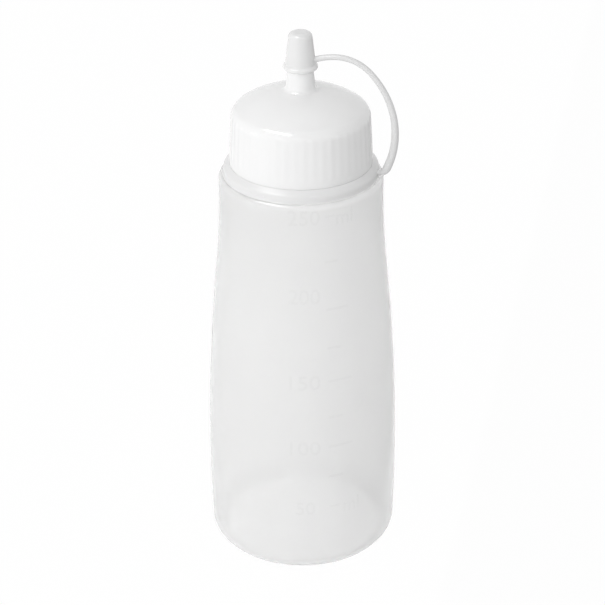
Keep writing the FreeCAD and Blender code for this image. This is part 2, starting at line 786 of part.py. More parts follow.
def strap_path(sketch):
    """Draw the strap's centre line: four tangent arcs and a short run into the ring."""
    out = Outline(sketch)
    root, crest, side, curve, foot = strap_centres()
    start, top, side_start, side_end, foot_end, anchor = strap_joints()

    root_arc = out.arc(root, size("strap_root_curve"), start, top, clockwise=True)
    crest_arc = out.arc(crest, size("strap_crest_curve"), top, side_start, clockwise=True)
    side_arc = out.arc(side, curve, side_start, side_end, clockwise=True)
    foot_arc = out.arc(foot, size("strap_foot_curve"), side_end, foot_end, clockwise=True)
    run = out.line(foot_end, anchor)
    out.join(
        smooth=(
            (root_arc, crest_arc),
            (crest_arc, side_arc),
            (side_arc, foot_arc),
            (foot_arc, run),
        ),
        closed=False,
    )
    out.level(run)
    out.radius("root_curve", root_arc, size("strap_root_curve"), "Sizes.strap_root_curve")
    out.across("root_across", root_arc, 2, start[0], STRAP_ROOT_ACROSS)
    out.up("root_up", root_arc, 2, start[1], STRAP_ROOT_UP)
    out.up("root_centre", root_arc, 3, root[1], STRAP_CREST_UP + " - Sizes.strap_root_curve")
    sketch.addConstraint(Sketcher.Constraint("Vertical", root_arc, 3, crest_arc, 3))
    out.radius("crest_curve", crest_arc, size("strap_crest_curve"), "Sizes.strap_crest_curve")
    side_across = "%s - %s" % (STRAP_REACH, STRAP_SIDE_CURVE)
    out.across("side_centre", side_arc, 3, side[0], side_across)
    side_formula = "Sizes.shoulder_height + Sizes.strap_bulge_rise"
    out.up("side_height", side_arc, 3, side[1], side_formula)
    out.radius("foot_curve", foot_arc, size("strap_foot_curve"), "Sizes.strap_foot_curve")
    run_formula = "Sizes.shoulder_height + Sizes.ring_thickness / 2"
    out.up("run_height", run, 2, anchor[1], run_formula)
    anchor_formula = "(%s + %s) / 2" % (RING_BORE, RING_RADIUS)
    out.across("anchor", run, 2, anchor[0], anchor_formula)


def strap_section(body, path, edge, share, alias):
    """Draw the strap's round section square to its path, at a share of one edge."""
    sketch = body.newObject("Sketcher::SketchObject", "StrapSection")
    sketch.AttachmentSupport = [(path, edge)]
    sketch.MapMode = "NormalToEdge"
    sketch.MapPathParameter = share
    out = Outline(sketch)
    circle = Part.Circle(FreeCAD.Vector(0, 0, 0), AXIS_Z, size(alias))
    round_edge = sketch.addGeometry(circle, False)
    sketch.addConstraint(Sketcher.Constraint("Coincident", round_edge, 3, *ORIGIN))
    out.radius("section", round_edge, size(alias), "Sizes." + alias)
    sketch.Visibility = False
    return sketch


def span_edge(path, begin, finish):
    """The name of the path's edge between two joints, and the share that begin is at."""
    for number, edge in enumerate(path.Shape.Edges, start=1):
        ends = [edge.valueAt(edge.FirstParameter), edge.valueAt(edge.LastParameter)]
        places = [(end.x, end.z) for end in ends]
        for share, (first, last) in ((0.0, places), (1.0, reversed(places))):
            if math.dist(first, begin) + math.dist(last, finish) < 0.01:
                return "Edge%d" % number, share
    raise RuntimeError("the strap's path has no edge there")


def sweep_span(body, path, joints, aliases):
    """Sweep a round section along one span, tapering from joint to joint."""
    edge, share = span_edge(path, *joints)
    sections = []
    for place, alias in zip((share, 1.0 - share), aliases):
        sections.append(strap_section(body, path, edge, place, alias))
    body.Document.recompute()
    sweep = body.newObject("PartDesign::AdditivePipe", "StrapSpan")
    sweep.Profile = sections[0]
    sweep.Spine = (path, [edge])
    sweep.Transformation = "Multisection"
    sweep.Sections = sections[1:]


def make_tether(doc):
    """The moulded tether: thimble, bead, tapering strap and ring in one piece."""
    body = new_body(doc, "tether_cap")
    thimble = new_sketch(body, "ThimbleOutside")
    thimble_outline(thimble)
    revolve(body, "Revolution", "ThimbleForm", thimble)
    bead = new_sketch(body, "BeadSection")
    bead_outline(bead)
    revolve(body, "Revolution", "Bead", bead)
    path = new_sketch(body, "StrapPath")
    strap_path(path)
    path.Visibility = False
    doc.recompute()
    joints = strap_joints()
    for index in range(len(joints) - 1):
        sweep_span(body, path, joints[index : index + 2], STRAP_RADII[index : index + 2])
    ring = new_sketch(body, "RingSection")
    ring_outline(ring)
    revolve(body, "Revolution", "Ring", ring)
    inside = new_sketch(body, "ThimbleInside")
    thimble_hollow(inside)
    revolve(body, "Groove", "ThimbleHollow", inside)
    return body


def check(doc, bodies):
    """Stop with a message if anything failed to build."""
    for item in doc.Objects:
        if "Invalid" in item.State or "Error" in item.State:
            raise RuntimeError("%s is %s" % (item.Name, item.State))
    for body in bodies:
        if body.Shape.isNull() or not body.Shape.isValid():
            raise RuntimeError(body.Label + " has no valid shape")
        if len(body.Shape.Solids) != 1:
            raise RuntimeError("%s has %d solids" % (body.Label, len(body.Shape.Solids)))


def main():
    doc = FreeCAD.newDocument("SqueezeBottle")
    make_sheet(doc, SIZES)
    bodies = [make_bottle(doc), make_cap(doc), make_tether(doc)]
    doc.recompute()
    check(doc, bodies)
    os.makedirs("parts", exist_ok=True)
    for body in bodies:
        body.Shape.exportStep("parts/%s.step" % body.Label)
        box = body.Shape.BoundBox
        print(body.Label, round(body.Shape.Volume, 1), box)


main()
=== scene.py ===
import logging
import math
from dataclasses import dataclass
from enum import Enum, IntEnum

import bmesh
import bpy
import numpy as np
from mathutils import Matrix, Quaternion, Vector


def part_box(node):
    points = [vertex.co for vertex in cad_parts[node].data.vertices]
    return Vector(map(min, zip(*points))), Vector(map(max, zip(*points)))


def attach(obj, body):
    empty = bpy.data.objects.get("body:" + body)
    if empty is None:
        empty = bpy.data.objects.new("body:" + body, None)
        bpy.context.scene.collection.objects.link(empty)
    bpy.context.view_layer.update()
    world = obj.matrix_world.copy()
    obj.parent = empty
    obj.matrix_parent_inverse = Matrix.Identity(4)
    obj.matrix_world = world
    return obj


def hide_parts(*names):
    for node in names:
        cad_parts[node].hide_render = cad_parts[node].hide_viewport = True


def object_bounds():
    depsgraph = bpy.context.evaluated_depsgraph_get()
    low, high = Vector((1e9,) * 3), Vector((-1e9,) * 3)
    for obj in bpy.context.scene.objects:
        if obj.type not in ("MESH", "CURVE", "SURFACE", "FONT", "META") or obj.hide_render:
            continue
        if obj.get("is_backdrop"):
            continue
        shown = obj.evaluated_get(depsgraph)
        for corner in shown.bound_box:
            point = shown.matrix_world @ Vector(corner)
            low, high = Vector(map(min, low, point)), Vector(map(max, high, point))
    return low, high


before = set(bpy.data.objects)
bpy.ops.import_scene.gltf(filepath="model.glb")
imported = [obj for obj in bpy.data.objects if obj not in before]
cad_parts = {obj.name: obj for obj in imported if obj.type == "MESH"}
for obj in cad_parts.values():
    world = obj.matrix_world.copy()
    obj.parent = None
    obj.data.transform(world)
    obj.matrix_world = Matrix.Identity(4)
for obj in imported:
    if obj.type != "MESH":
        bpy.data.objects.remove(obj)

log = logging.getLogger("squeeze_bottle")

MM = 0.001
CAD_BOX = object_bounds()

Pair = tuple[float, float]
Colour = tuple[float, float, float]

SAME_ROW = 1e-3
MERGE_DISTANCE = 1e-7
SLIVER_LENGTH = 1e-8
CRISP_ANGLE = math.radians(35.0)
PLASTIC_IOR = 1.5
PAPER_ROUGHNESS = 0.9


class Side(Enum):
    """Which skin of a thin wall a profile follows."""

    OUTER = "outer"
    INNER = "inner"


class Region(IntEnum):
    """Which finish a face of the bottle's wall takes, by its material's place."""

    OUTSIDE = 0
    INSIDE = 1
    DISC = 2


# ---------------- profiles


def arc_points(centre: Pair, radius: float, start: float, end: float, steps: int) -> np.ndarray:
    """Points on an arc, evenly spaced: centre + radius * (cos a, sin a).

    Args:
        centre: The arc's centre as (radius from the axis, height), in millimetres.
        radius: The arc's radius.
        start: The first angle in degrees, from straight out towards up.
        end: The last angle in degrees.
        steps: How many spans the arc is cut into.

    Returns:
        An array of steps + 1 rows of (radius, height).
    """
    turn = np.radians(np.linspace(start, end, steps + 1))
    return np.stack([centre[0] + radius * np.cos(turn), centre[1] + radius * np.sin(turn)], 1)


def line_points(start: Pair, end: Pair, steps: int) -> np.ndarray:
    """Points evenly spaced on a straight run, both ends included.

    Args:
        start: The first point.
        end: The last point.
        steps: How many spans the run is cut into.

    Returns:
        An array of steps + 1 rows of (radius, height).
    """
    share = np.linspace(0.0, 1.0, steps + 1)[:, None]
    return np.asarray(start) * (1.0 - share) + np.asarray(end) * share


def chain(*runs: np.ndarray) -> np.ndarray:
    """Put runs of points end to end and drop the points that repeat.

    Args:
        runs: Arrays of (radius, height) rows.

    Returns:
        One array, where no row is within a micrometre of the row before it.
    """
    points = np.concatenate(runs)
    step = np.linalg.norm(np.diff(points, axis=0), axis=1)
    return points[np.concatenate([[True], step > SAME_ROW])]


def direction(start: Pair, end: Pair) -> float:
    """The angle in degrees from one point to another."""
    return math.degrees(math.atan2(end[1] - start[1], end[0] - start[0]))


def smooth_step(value: np.ndarray) -> np.ndarray:
    """Ease from 0 to 1: 3 v^2 - 2 v^3, with v held between 0 and 1."""
    held = np.clip(value, 0.0, 1.0)
    return held * held * (3.0 - 2.0 * held)


# ---------------- meshes


def grid_mesh(name: str, points: np.ndarray, wrap_rows: bool = False) -> bpy.types.Mesh:
    """Make a mesh of quads over a grid of points whose columns close on themselves.

    Face (i, j) joins points (i, j), (i, j+1), (i+1, j+1) and (i+1, j). Rows that
    shrink to a point become poles when their doubles are merged.

    Args:
        name: The mesh's name.
        points: An array of rows x columns x 3, in millimetres.
        wrap_rows: True if the last row joins the first.

    Returns:
        The mesh, in metres, smooth, with its faces pointing outwards.
    """
    rows, cols = points.shape[:2]
    index = np.arange(rows * cols).reshape(rows, cols)
    low = index if wrap_rows else index[:-1]
    high = np.roll(index, -1, axis=0) if wrap_rows else index[1:]
    faces = np.stack([low, np.roll(low, -1, axis=1), np.roll(high, -1, axis=1), high], -1)
    mesh = bpy.data.meshes.new(name)
    mesh.from_pydata((points.reshape(-1, 3) * MM).tolist(), [], faces.reshape(-1, 4).tolist())
    return clean(mesh)


def clean(mesh: bpy.types.Mesh) -> bpy.types.Mesh:
    """Merge doubles, turn the faces outwards and shade smooth with crisp corners.

    Args:
        mesh: The mesh, which is changed in place.

    Returns:
        The same mesh.
    """
    work = bmesh.new()
    work.from_mesh(mesh)
    bmesh.ops.remove_doubles(work, verts=work.verts, dist=MERGE_DISTANCE)
    bmesh.ops.dissolve_degenerate(work, edges=work.edges, dist=SLIVER_LENGTH)
    bmesh.ops.recalc_face_normals(work, faces=work.faces)
    work.to_mesh(mesh)
    work.free()
    mesh.shade_smooth()
    mesh.set_sharp_from_angle(angle=CRISP_ANGLE)
    return mesh


def join(name: str, meshes: list[bpy.types.Mesh]) -> bpy.types.Mesh:
    """Join meshes into one and drop the parts.

    Args:
        name: The new mesh's name.
        meshes: The meshes to join.

    Returns:
        The joined mesh.
    """
    work = bmesh.new()
    for mesh in meshes:
        work.from_mesh(mesh)
    joined = bpy.data.meshes.new(name)
    work.to_mesh(joined)
    work.free()
    for mesh in meshes:
        bpy.data.meshes.remove(mesh)
    joined.set_sharp_from_angle(angle=CRISP_ANGLE)
    return joined


def lathe(profile: np.ndarray, turn: np.ndarray) -> np.ndarray:
    """Carry a profile round the axis: (radius * cos t, radius * sin t, height).

    Args:
        profile: Rows of (radius, height).
        turn: The angles in radians, one for each column.

    Returns:
        A grid of rows x columns x 3.
    """
    radius, height = profile[:, :1], profile[:, 1:]
    flat = np.ones_like(turn)
    return np.stack([radius * np.cos(turn), radius * np.sin(turn), height * flat], -1)


def full_turn(count: int) -> np.ndarray:
    """Evenly spaced angles round the axis, in radians."""
    return np.arange(count) * (2.0 * math.pi / count)


def new_object(name: str, data: bpy.types.ID) -> bpy.types.Object:
    """Put data in the scene as a new object at the origin."""
    placed = bpy.data.objects.new(name, data)
    bpy.context.scene.collection.objects.link(placed)
    return placed


def add_piece(mesh: bpy.types.Mesh, material: bpy.types.Material) -> bpy.types.Object:
    """Put a mesh in the scene as a piece that rides on the bottle.

    Args:
        mesh: The piece's mesh, in place.
        material: Its finish.

    Returns:
        The new object, at the origin.
    """
    piece = new_object(mesh.name, mesh)
    mesh.materials.append(material)
    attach(piece, "root")
    log.info("%s: %d faces", piece.name, len(mesh.polygons))
    return piece


# ---------------- finishes


def grey(tone: float) -> Colour:
    """A neutral colour."""
    return (tone, tone, tone)


@dataclass(frozen=True)
class MouldedPlastic:
    """A polyolefin finish: milky, satin, with the faint unevenness of moulding.

    Attributes:
        name: The material's name.
        pale: The plastic's lighter colour, where the clouds of tone run high.
        deep: Its darker colour, where the clouds of tone run low.
        gloss_low: The smoothest roughness on the surface.
        gloss_high: The roughest.
        cloud_scale: How many clouds of tone there are to the metre.
        cloud_span: The noise values that the deep and the pale colour stand at.
        gloss_finer: How many times finer the clouds of gloss are.
        solid: How much of the light does not pass straight through.
        shine: How strongly the surface mirrors straight on, from 0 to 1.
        scatter: The share of light that goes through the plastic's body.
        scatter_depth: How far it goes, in metres.
        ripple: The height of the surface's slow waves, in metres.
        ripple_scale: How many waves there are to the metre.
        grain: The height of the mould's fine grain, in metres.
        grain_scale: How many grains there are to the metre.
    """

    name: str
    pale: Colour
    deep: Colour
    gloss_low: float
    gloss_high: float
    cloud_scale: float = 45.0
    cloud_span: Pair = (0.3, 0.7)
    gloss_finer: float = 4.0
    solid: float = 1.0
    shine: float = 0.3
    scatter: float = 0.0
    scatter_depth: float = 0.002
    ripple: float = 0.00004
    ripple_scale: float = 60.0
    grain: float = 0.000001
    grain_scale: float = 900.0

    def material(self) -> bpy.types.Material:
        """Build the node material: clouds of tone and gloss, slow ripples and grain.

        Returns:
            The material, with a lone Principled shader.
        """
        material = bpy.data.materials.new(self.name)
        material.use_nodes = True
        nodes, links = material.node_tree.nodes, material.node_tree.links
        shader = nodes["Principled BSDF"]
        place = nodes.new("ShaderNodeTexCoord").outputs["Object"]
        clouds = self._noise(nodes, links, place, self.cloud_scale, detail=3.0)
        tone = nodes.new("ShaderNodeValToRGB")
        stops = zip(tone.color_ramp.elements, self.cloud_span, (self.deep, self.pale))
        for stop, position, colour in stops:
            stop.position = position
            stop.color = (*colour, 1.0)
        links.new(clouds, tone.inputs["Fac"])
        links.new(tone.outputs["Color"], shader.inputs["Base Color"])
        gloss = nodes.new("ShaderNodeMapRange")
        gloss.inputs["To Min"].default_value = self.gloss_low
        gloss.inputs["To Max"].default_value = self.gloss_high
        finer = self._noise(nodes, links, place, self.cloud_scale * self.gloss_finer, detail=2.0)
        links.new(finer, gloss.inputs["Value"])
        links.new(gloss.outputs["Result"], shader.inputs["Roughness"])
        target = shader
        for relief, scale in ((self.grain, self.grain_scale), (self.ripple, self.ripple_scale)):
            bump = nodes.new("ShaderNodeBump")
            bump.inputs["Distance"].default_value = relief
            height = self._noise(nodes, links, place, scale, detail=1.0)
            links.new(height, bump.inputs["Height"])
            links.new(bump.outputs["Normal"], target.inputs["Normal"])
            target = bump
        constants = {
            "Alpha": self.solid,
            "IOR": PLASTIC_IOR,
            "Specular IOR Level": self.shine,
            "Subsurface Weight": self.scatter,
            "Subsurface Radius": (1.0, 1.0, 1.0),
            "Subsurface Scale": self.scatter_depth,
        }
        for socket, value in constants.items():
            shader.inputs[socket].default_value = value
        return material

    @staticmethod
    def _noise(
        nodes: bpy.types.Nodes,
        links: bpy.types.NodeLinks,
        place: bpy.types.NodeSocket,
        scale: float,
        detail: float,
    ) -> bpy.types.NodeSocket:
        """Add a noise texture on the object's own coordinates.

        Args:
            nodes: The material's nodes.
            links: The material's links.
            place: The socket of the object's coordinates.
            scale: How many features there are to the metre.
            detail: How many finer layers of noise lie over the first.

        Returns:
            The socket of the noise's value.
        """
        noise = nodes.new("ShaderNodeTexNoise")
        noise.inputs["Scale"].default_value = scale
        noise.inputs["Detail"].default_value = detail
        links.new(place, noise.inputs["Vector"])
        return noise.outputs["Fac"]


# ---------------- the bottle


@dataclass
class Bottle:
    """The blown bottle's wall, in millimetres.

    The belly arc starts upright at the belly and the waist arc ends upright at the
    shoulder's corner, so both have the same ratio of radius to rise.
    """

    belly_radius: float = 29.0
    belly_height: float = 25.2
    turn_height: float = 92.15
    shoulder_radius: float = 23.94
    shoulder_corner: float = 2.2
    shoulder_height: float = 123.0
    base_corner: float = 4.9
    foot_radius: float = 21.5
    push_up: float = 2.6
    wall: float = 1.1
    neck_radius: float = 17.4
    neck_wall: float = 1.8
    neck_rise: float = 16.5
    floor_edge: float = 23.4
    columns: int = 240
    finish: MouldedPlastic = MouldedPlastic(
        "bottle_plastic",
        pale=grey(0.985),
        deep=grey(0.975),
        gloss_low=0.12,
        gloss_high=0.17,
        solid=0.55,
        shine=0.6,
        scatter=1.0,
    )
    inside_finish: MouldedPlastic = MouldedPlastic(
        "bottle_inside_plastic",
        pale=grey(0.985),
        deep=grey(0.975),
        gloss_low=0.2,
        gloss_high=0.3,
        solid=0.04,
        scatter=1.0,
    )
    floor_finish: MouldedPlastic = MouldedPlastic(
        "bottle_floor_plastic",
        pale=grey(0.99),
        deep=grey(0.98),
        gloss_low=0.16,
        gloss_high=0.24,
        solid=0.33,
        scatter=1.0,
    )

    @property
    def neck_top(self) -> float:
        """The height of the neck's rim."""
        return self.shoulder_height + self.neck_rise

    def flank(self) -> tuple[float, float, float]:
        """Work out the side's two arcs, which touch at the turn.

        Returns:
            The belly arc's radius, the waist arc's radius and the turn's slope in degrees.
        """
        top = self.shoulder_height - self.shoulder_corner
        slope = (self.belly_radius - self.shoulder_radius) / (top - self.belly_height)
        ratio = (1.0 / slope + slope) / 2.0
        belly = (self.turn_height - self.belly_height) * ratio
        return belly, (top - self.turn_height) * ratio, math.degrees(2.0 * math.atan(slope))

    def skin(self, side: Side) -> np.ndarray:
        """The profile of one skin, from the base's centre to the neck's rim.

        Args:
            side: The outer or the inner skin, which lies a wall inside the outer.

        Returns:
            Rows of (radius, height).
        """
        inset = self.wall if side is Side.INNER else 0.0
        belly_curve, waist_curve, slope = self.flank()
        dome = (self.foot_radius**2 + self.push_up**2) / (2.0 * self.push_up)
        dome_height = self.push_up - dome
        dome_end = math.degrees(math.asin((inset - dome_height) / (dome + inset)))
        belly = (self.belly_radius - belly_curve, self.belly_height)
        rise = self.belly_height - self.base_corner
        reach = math.sqrt((belly_curve - self.base_corner) ** 2 - rise**2)
        corner = (belly[0] + reach, self.base_corner)
        lean = direction(belly, corner)
        shoulder = (
            self.shoulder_radius - self.shoulder_corner,
            self.shoulder_height - self.shoulder_corner,
        )
        waist = (self.shoulder_radius + waist_curve, shoulder[1])
        neck = self.neck_radius - (self.neck_wall if side is Side.INNER else 0.0)
        shelf = self.shoulder_height - inset
        return chain(
            arc_points((0.0, dome_height), dome + inset, 90.0, dome_end, steps=24),
            arc_points(corner, self.base_corner - inset, -90.0, lean, steps=14),
            arc_points(belly, belly_curve - inset, lean, slope, steps=64),
            arc_points(waist, waist_curve + inset, 180.0 + slope, 180.0, steps=28),
            arc_points(shoulder, self.shoulder_corner - inset, 0.0, 90.0, steps=12),
            line_points((shoulder[0], shelf), (neck, shelf), steps=4),
            line_points((neck, shelf), (neck, self.neck_top), steps=8),
        )

    def radius_at(self, height: np.ndarray) -> np.ndarray:
        """The outer skin's radius at heights on the belly or the waist.

        Args:
            height: Heights in millimetres.

        Returns:
            The radius of the belly arc below the turn, and of the waist arc above it.
        """
        belly_curve, waist_curve, _ = self.flank()
        top = self.shoulder_height - self.shoulder_corner
        below = self.belly_radius - belly_curve
        below = below + np.sqrt(belly_curve**2 - (height - self.belly_height) ** 2)
        over = self.shoulder_radius + waist_curve
        over = over - np.sqrt(waist_curve**2 - np.minimum(height - top, 0.0) ** 2)
        return np.where(height < self.turn_height, below, over)

    def skin_slots(self, mesh: bpy.types.Mesh) -> np.ndarray:
        """Sort the wall's faces by the skin that they belong to.

        A face of the inner skin looks towards the bottle's middle. The base's thin
        disc, inside and out, is a region of its own, and its thick corner is as
        cloudy inside as outside.

        Args:
            mesh: The wall's mesh.

        Returns:
            Each face's region.
        """
        middle = np.empty(len(mesh.polygons) * 3)
        mesh.polygons.foreach_get("center", middle)
        middle = middle.reshape(-1, 3) / MM
        normal = np.empty(len(mesh.polygons) * 3)
        mesh.polygons.foreach_get("normal", normal)
        heart = np.array([0.0, 0.0, self.shoulder_height / 2.0])
        inward = ((middle - heart) * normal.reshape(-1, 3)).sum(1) < 0.0
        low = middle[:, 2] < self.base_corner
        disc = low & (np.hypot(middle[:, 0], middle[:, 1]) < self.floor_edge)
        skins = np.where(inward & ~low, Region.INSIDE, Region.OUTSIDE)
        return np.where(disc, Region.DISC, skins).astype(np.int32)

    def build(self) -> None:
        """Make the bottle's wall as one closed shell, outer skin up and inner skin down."""
        profile = chain(self.skin(Side.OUTER), self.skin(Side.INNER)[::-1])
        mesh = grid_mesh("bottle_wall", lathe(profile, full_turn(self.columns)))
        wall = add_piece(mesh, self.finish.material())
        mesh.materials.append(self.inside_finish.material())
        mesh.materials.append(self.floor_finish.material())
        mesh.polygons.foreach_set("material_index", self.skin_slots(mesh))
        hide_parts("bottle")


@dataclass
class Graduations:
    """The raised fill marks on the bottle's side: numbers, dashes and the unit."""

    bottle: Bottle
    relief: float = 0.09
    sunk: float = 0.1
    digit_height: float = 4.5
    number_width: float = 9.0
    short_number: float = 0.64
    unit_width: float = 5.3
    unit_drop: float = 0.7
    dash_height: float = 0.7
    dash_start: float = 28.8
    dash_by_unit: float = 35.8
    dash_short: float = 37.5
    dash_long: float = 44.0
    dash_rows: int = 25
    dash_columns: int = 20
    number_middle: float = 14.5
    unit_middle: float = 43.2
    labels: tuple[tuple[str, float, float], ...] = (
        ("50", 24.0, 24.0),
        ("100", 45.4, 45.4),
        ("150", 67.4, 67.4),
        ("200", 90.3, 94.7),
        ("250", 119.1, 119.1),
    )
    with_unit: tuple[str, ...] = ("50", "250")
    half_marks: tuple[float, ...] = (34.9, 55.4, 78.1, 105.0)
    finish: MouldedPlastic = MouldedPlastic(
        "mark_plastic",
        pale=grey(0.985),
        deep=grey(0.975),
        gloss_low=0.12,
        gloss_high=0.18,
        solid=0.055,
    )

    def wrap(self, flat: np.ndarray, middle: float, height: float) -> np.ndarray:
        """Lay flat points on the bottle's side.

        The first coordinate becomes arc length round the axis, the second height and
        the third the lift off the outer skin. The front is the -Y side, and a
        positive angle turns from it towards +X.

        Args:
            flat: Rows of (across, up, lift).
            middle: The angle that across 0 goes to, in degrees.
            height: The height that up 0 goes to.

        Returns:
            Rows of (x, y, z).
        """
        up = height + flat[:, 1]
        radius = self.bottle.radius_at(up)
        turn = math.radians(middle) + flat[:, 0] / radius
        out = radius + flat[:, 2]
        return np.stack([out * np.sin(turn), -out * np.cos(turn), up], 1)

    def sign(self, text: str, width: float, middle: float, height: float) -> bpy.types.Mesh:
        """Make raised figures, centred on a place on the side.

        Args:
            text: The figures.
            width: How wide they come out.
            middle: The angle of their middle, in degrees.
            height: The height of their middle.

        Returns:
            The mesh, in place.
        """
        curve = bpy.data.curves.new("sign", "FONT")
        curve.body = text
        curve.size = 1.0
        curve.extrude = 0.5
        holder = new_object("sign", curve)
        bpy.context.view_layer.update()
        solid = holder.evaluated_get(bpy.context.evaluated_depsgraph_get())
        mesh = bpy.data.meshes.new_from_object(solid)
        bpy.data.objects.remove(holder)
        bpy.data.curves.remove(curve)
        flat = np.empty(len(mesh.vertices) * 3)
        mesh.vertices.foreach_get("co", flat)
        flat = flat.reshape(-1, 3)
        low, high = flat.min(0), flat.max(0)
        share = (flat - (low + high) / 2.0) / (high - low)
        lift = np.where(share[:, 2] > 0.0, self.relief, -self.sunk)
        flat = np.stack([share[:, 0] * width, share[:, 1] * self.digit_height, lift], 1)
        mesh.vertices.foreach_set("co", (self.wrap(flat, middle, height) * MM).ravel())
        return clean(mesh)

    def dash(self, end: float, height: float) -> bpy.types.Mesh:
        """Make one raised dash: a rounded ridge from the dashes' start to its end.

        Its section is a superellipse, |up|^4 + |lift|^4 = 1 scaled to the dash,
        carried along an arc of the side and drawn in to a point at both ends.

        Args:
            end: The angle where it ends, in degrees.
            height: The height of its middle.

        Returns:
            The mesh, in place.
        """
        middle = (self.dash_start + end) / 2.0
        radius = float(self.bottle.radius_at(np.array(height)))
        half = math.radians(end - self.dash_start) / 2.0 * radius
        share = np.concatenate([[-1.0], np.linspace(-1.0, 1.0, self.dash_rows), [1.0]])
        size = np.concatenate([[0.0], np.ones(self.dash_rows), [0.0]])
        turn = full_turn(self.dash_columns)
        around = np.sqrt(np.abs(np.cos(turn))) * np.sign(np.cos(turn))
        lift = np.sqrt(np.abs(np.sin(turn))) * np.sign(np.sin(turn))
        flat = np.stack(
            [
                half * share[:, None] * np.ones_like(turn),
                self.dash_height / 2.0 * size[:, None] * around,
                np.where(lift > 0.0, self.relief, self.sunk) * lift * size[:, None],
            ],
            -1,
        )
        points = self.wrap(flat.reshape(-1, 3), middle, height).reshape(flat.shape)
        return grid_mesh("dash", points)

    def build(self) -> None:
        """Make every mark and join them into one piece."""
        meshes = []
        for text, level, height in self.labels:
            width = self.number_width * (self.short_number if len(text) == 2 else 1.0)
            meshes.append(self.sign(text, width, self.number_middle, height))
            end = self.dash_by_unit if text in self.with_unit else self.dash_long
            meshes.append(self.dash(end, level))
            if text in self.with_unit:
                unit_height = level - self.unit_drop
                meshes.append(self.sign("ml", self.unit_width, self.unit_middle, unit_height))
        for height in self.half_marks:
            meshes.append(self.dash(self.dash_short, height))
        add_piece(join("graduations", meshes), self.finish.material())


# ---------------- the nozzle cap


